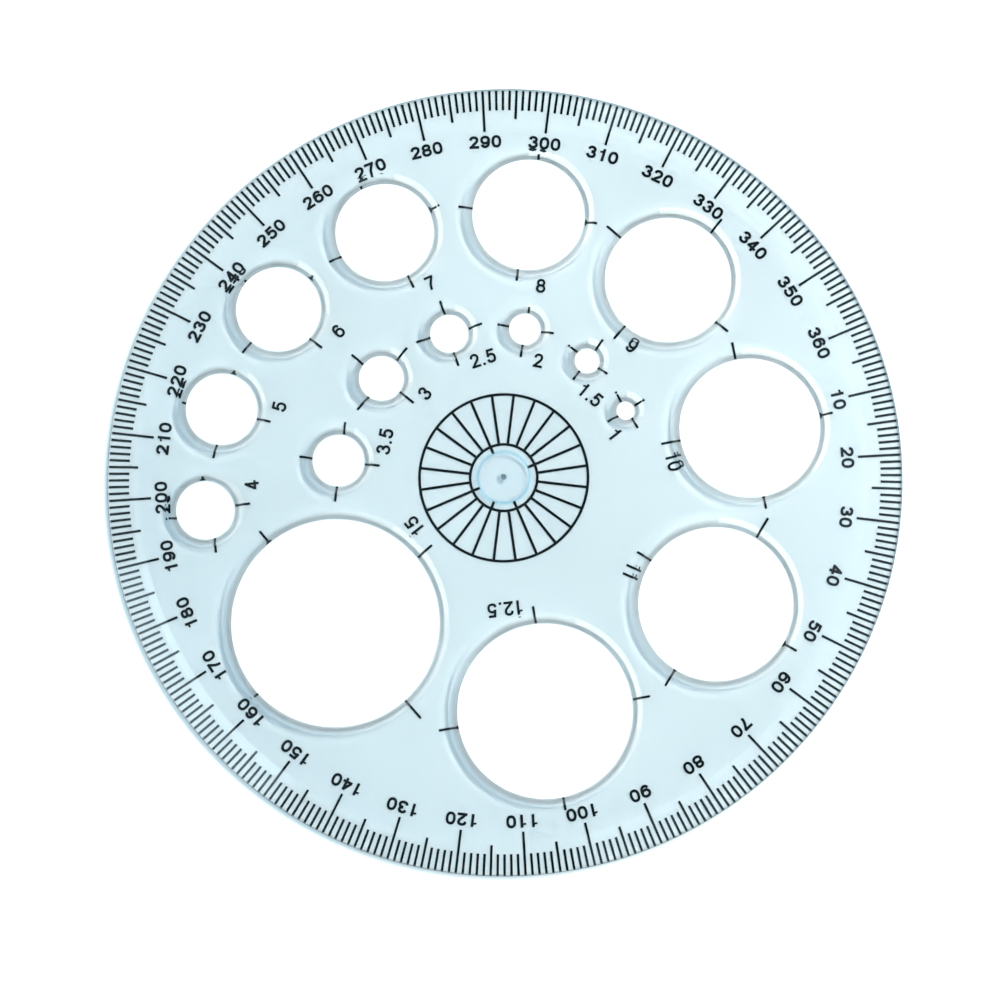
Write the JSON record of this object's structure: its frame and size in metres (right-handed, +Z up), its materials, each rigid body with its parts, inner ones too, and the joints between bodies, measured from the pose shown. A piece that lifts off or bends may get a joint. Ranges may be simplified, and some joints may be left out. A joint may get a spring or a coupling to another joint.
{
  "type": "circle template",
  "caption": "Round clear plastic drawing template with circle holes for radii from 1 to 15 mm, a full circle degree scale on its bevelled rim and a centre rosette.",
  "frame": {"origin": "centre of the disc on its flat underside, the face that lies on the paper", "axes": "+Z up through the disc, square to its faces; +Y from the centre toward the 0/360 degree mark; +X toward the 90 degree mark, so degrees run clockwise seen from above"},
  "size_m": [0.117, 0.117, 0.0015],
  "materials": {
    "clear_plastic": "clear polished moulding with a pale blue tint",
    "black_ink": "matt black stamping ink, sunk flush"
  },
  "bodies": {
    "root": {"template_plate": "clear_plastic", "centre_rosette": "black_ink"}
  },
  "joints": []
}
